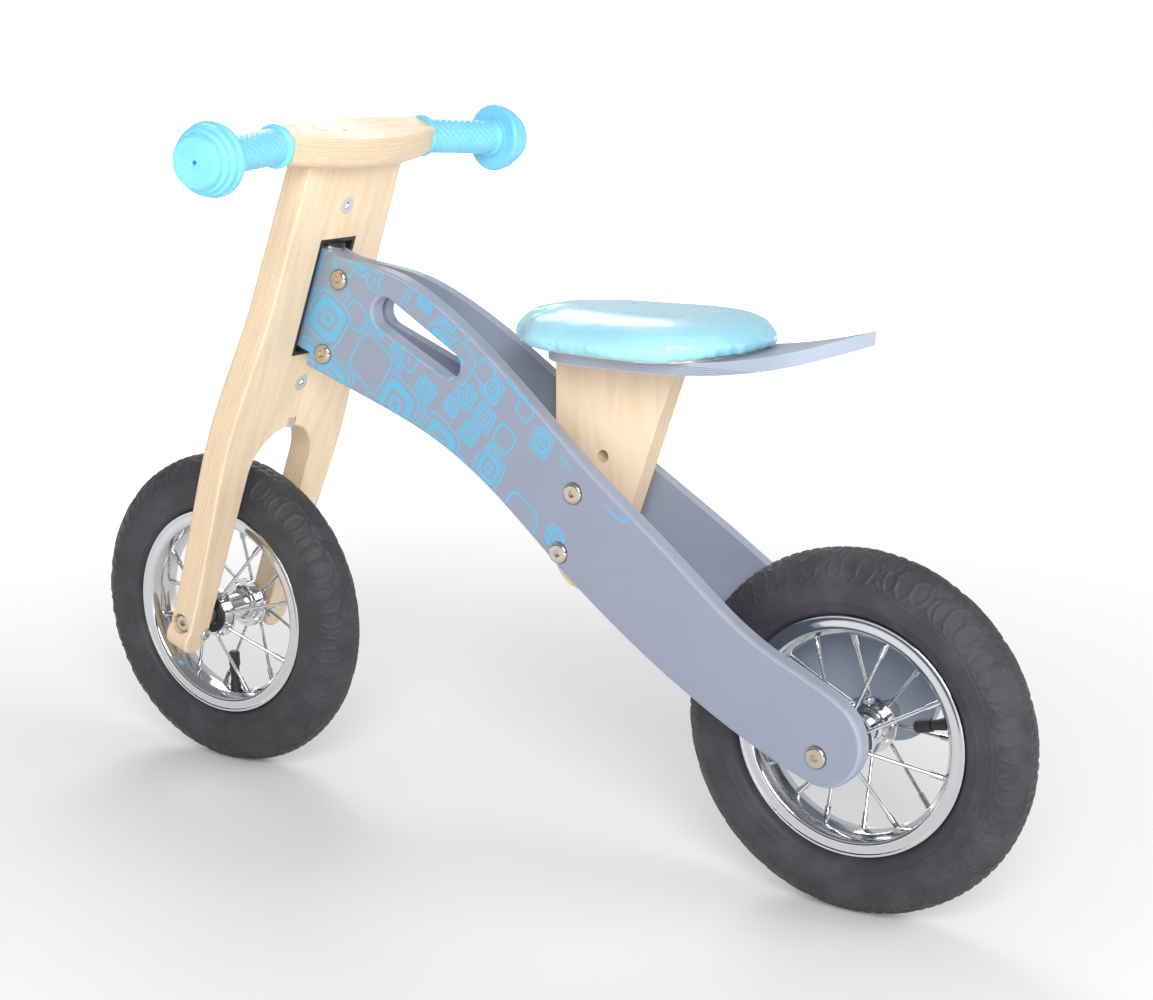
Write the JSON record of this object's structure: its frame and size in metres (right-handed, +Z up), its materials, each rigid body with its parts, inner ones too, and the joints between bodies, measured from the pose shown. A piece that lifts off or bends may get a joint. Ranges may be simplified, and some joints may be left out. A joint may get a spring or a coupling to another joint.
{
  "type": "balance bike",
  "caption": "Child's plywood balance bike: splayed side panels, slotted steering plank, cushioned seat on a height-adjustable post, pneumatic spoked wheels.",
  "frame": {"origin": "on the floor, midway between the two tyre contact points", "axes": "+X forward along the bike, +Y to the rider's left, +Z up"},
  "size_m": [0.814, 0.3788, 0.5276],
  "materials": {
    "painted_ply": "satin grey-blue paint over plywood",
    "birch_ply": "clear satin lacquer over birch plywood",
    "birch_round": "plain sanded birch",
    "sleeve_steel": "bright zinc",
    "bush_plastic": "black moulded",
    "bolt_steel": "polished zinc",
    "pad_vinyl": "glossy light-blue vinyl",
    "grip_plastic": "sky-blue moulded, slightly soft",
    "tyre_rubber": "dark grey rubber",
    "tube_rubber": "black butyl",
    "wheel_chrome": "bright plated"
  },
  "bodies": {
    "frame": {"side_panel_left": "painted_ply", "side_panel_right": "painted_ply", "steering_sleeve": "sleeve_steel", "steering_bushes": "bush_plastic", "head_bolts": "bolt_steel", "head_nuts": "bolt_steel", "seat_board": "painted_ply", "seat_pad_base": "birch_round", "seat_pad": "pad_vinyl", "seat_pad_screws": "bolt_steel", "seat_board_screws": "bolt_steel", "seat_post": "birch_ply", "seat_post_bolts": "bolt_steel", "seat_post_nuts": "bolt_steel", "seat_post_spacers": "sleeve_steel", "rear_axle": "bolt_steel", "rear_axle_bolts": "bolt_steel", "rear_axle_spacers": "sleeve_steel"},
    "fork": {"fork_plank": "birch_ply", "window_liner": "bush_plastic", "steering_pin": "bolt_steel", "steering_barrel_nuts": "bolt_steel", "fork_leg_screws": "bolt_steel", "handlebar": "birch_ply", "handlebar_dowels": "birch_round", "handlebar_screws": "bolt_steel", "handlebar_plugs": "birch_round", "grip_left": "grip_plastic", "grip_right": "grip_plastic", "front_axle": "bolt_steel", "front_axle_bolts": "bolt_steel", "front_axle_spacers": "sleeve_steel"},
    "front_wheel": {"front_tyre": "tyre_rubber", "front_inner_tube": "tube_rubber", "front_rim_tape": "tube_rubber", "front_rim": "wheel_chrome", "front_spokes": "wheel_chrome", "front_nipples": "wheel_chrome", "front_hub": "wheel_chrome", "front_bearings": "bolt_steel", "front_hub_caps": "bush_plastic", "front_valve_stem": "tube_rubber", "front_valve_cap": "bush_plastic"},
    "rear_wheel": {"rear_tyre": "tyre_rubber", "rear_inner_tube": "tube_rubber", "rear_rim_tape": "tube_rubber", "rear_rim": "wheel_chrome", "rear_spokes": "wheel_chrome", "rear_nipples": "wheel_chrome", "rear_hub": "wheel_chrome", "rear_bearings": "bolt_steel", "rear_hub_caps": "bush_plastic", "rear_valve_stem": "tube_rubber", "rear_valve_cap": "bush_plastic"}
  },
  "joints": [
    {"name": "steering", "type": "hinge", "parent": "frame", "child": "fork", "pos_m": [0.27434, 0, 0.125], "axis": [-0.3338, 0, 0.9426], "range_deg": [-30, 30]},
    {"name": "front_wheel_spin", "type": "hinge", "parent": "fork", "child": "front_wheel", "pos_m": [0.28, 0, 0.127], "axis": [0, 1, 0], "continuous": true},
    {"name": "rear_wheel_spin", "type": "hinge", "parent": "frame", "child": "rear_wheel", "pos_m": [-0.28, 0, 0.127], "axis": [0, 1, 0], "continuous": true}
  ]
}
